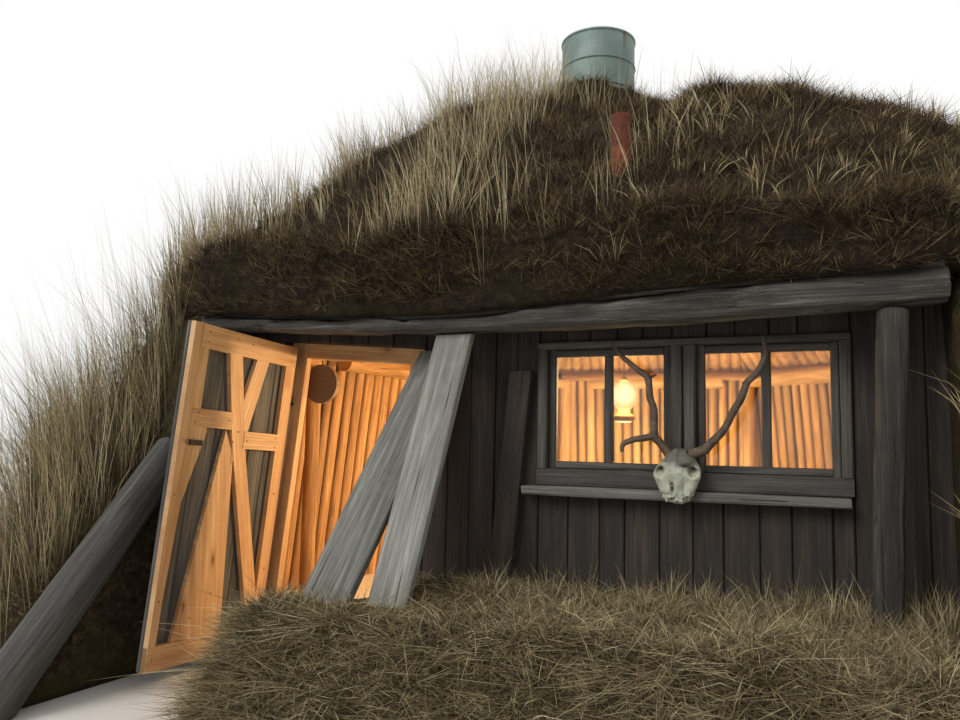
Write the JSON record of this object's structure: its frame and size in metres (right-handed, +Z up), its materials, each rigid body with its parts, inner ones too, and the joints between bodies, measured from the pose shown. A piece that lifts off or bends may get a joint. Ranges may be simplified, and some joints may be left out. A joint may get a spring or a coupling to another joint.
{
  "type": "turf house",
  "caption": "Low turf house: room of leaning poles under a turf dome, with a timber front, a plank door that opens, paired windows and a steel drum as its smoke pipe.",
  "frame": {"origin": "on the ground under the sill log, at the middle of the front wall's length and thickness", "axes": "+X to the right along the front wall as seen from outside, +Y from the front wall into the house, +Z up"},
  "size_m": [7.5799, 6.897, 3.9982],
  "materials": {
    "turf": "matte",
    "grassy_turf": "matte",
    "dry_grass": "matte",
    "pine_poles": "satin",
    "grey_wood": "matte",
    "dark_wood": "matte",
    "window_wood": "matte",
    "window_glass": "gloss",
    "drum_steel": "matte",
    "rusty_steel": "matte",
    "iron": "matte",
    "bone": "matte",
    "antler": "matte",
    "lamp": "gloss"
  },
  "bodies": {
    "house": {"turf_wall_front_left": "turf", "turf_wall_left": "turf", "turf_wall_back_left": "turf", "turf_wall_back": "turf", "turf_wall_back_right": "turf", "turf_wall_right": "turf", "turf_wall_front_right": "turf", "turf_bank": "turf", "turf_roof_front": "grassy_turf", "turf_roof_left": "grassy_turf", "turf_roof_back": "grassy_turf", "turf_roof_right": "grassy_turf", "tall_grass_slope": "dry_grass", "tall_grass_roof": "dry_grass", "wall_poles_left": "pine_poles", "wall_poles_right": "pine_poles", "roof_poles_front": "pine_poles", "roof_poles_left": "pine_poles", "roof_poles_right": "pine_poles", "purlins_lower": "pine_poles", "purlins_upper": "pine_poles", "room_posts": "pine_poles", "smoke_hole_frame": "pine_poles", "chimney_drum": "drum_steel", "rusty_pipe": "rusty_steel", "eave_log": "grey_wood", "eave_boards": "grey_wood", "eave_posts": "grey_wood", "sill_log": "dark_wood", "front_wall_left": "dark_wood", "front_wall_over_door": "dark_wood", "front_wall_middle": "dark_wood", "front_wall_below_windows": "dark_wood", "front_wall_above_windows": "dark_wood", "front_wall_right": "dark_wood", "window_casing": "window_wood", "window_sashes": "window_wood", "window_glass": "window_glass", "window_sill": "grey_wood", "door_frame": "pine_poles", "door_pintles": "iron", "leaning_planks": "grey_wood", "wing_log": "grey_wood", "skull": "bone", "antlers": "antler", "hanging_lamp": "lamp", "wooden_disc": "pine_poles"},
    "door_leaf": {"door_boards": "grey_wood", "door_braces": "pine_poles", "door_straps": "iron"}
  },
  "joints": [
    {"name": "door_hinge", "type": "hinge", "parent": "house", "child": "door_leaf", "pos_m": [-1.29896, -0.08992, 0.05758], "axis": [0.075, 0.0435, 0.9962], "range_deg": [-2, 88]}
  ]
}
